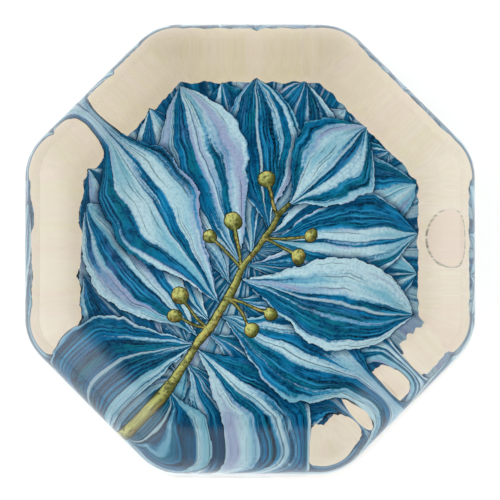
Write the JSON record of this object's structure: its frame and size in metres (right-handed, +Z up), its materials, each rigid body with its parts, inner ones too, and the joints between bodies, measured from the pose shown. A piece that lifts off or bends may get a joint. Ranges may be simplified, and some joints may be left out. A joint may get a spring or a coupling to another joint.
{
  "type": "paperweight",
  "caption": "Octagonal clear glass paperweight with rounded shoulders and a softly domed top, a printed paper sheet glued under it and a felt base.",
  "frame": {"origin": "middle of the underside of the felt", "axes": "+Z up through the middle of the top, +Y towards the top of the printed picture, +X to its right"},
  "size_m": [0.089, 0.089, 0.0296],
  "materials": {
    "clear_glass": "clear colourless soda-lime glass, pressed, ground and polished bright, with soft hand-finished shoulders",
    "clear_glue": "clear dried glue, glossy where it shows at the edge",
    "printed_paper": "cream laid paper, slightly foxed, printed in blues, teal, lavender and olive gold with fine engraved lines",
    "wool_felt": "pressed wool felt, matt, with a fuzzy cut edge"
  },
  "bodies": {
    "root": {"glass_block": "clear_glass", "glue_film": "clear_glue", "printed_paper": "printed_paper", "felt_pad": "wool_felt"}
  },
  "joints": []
}
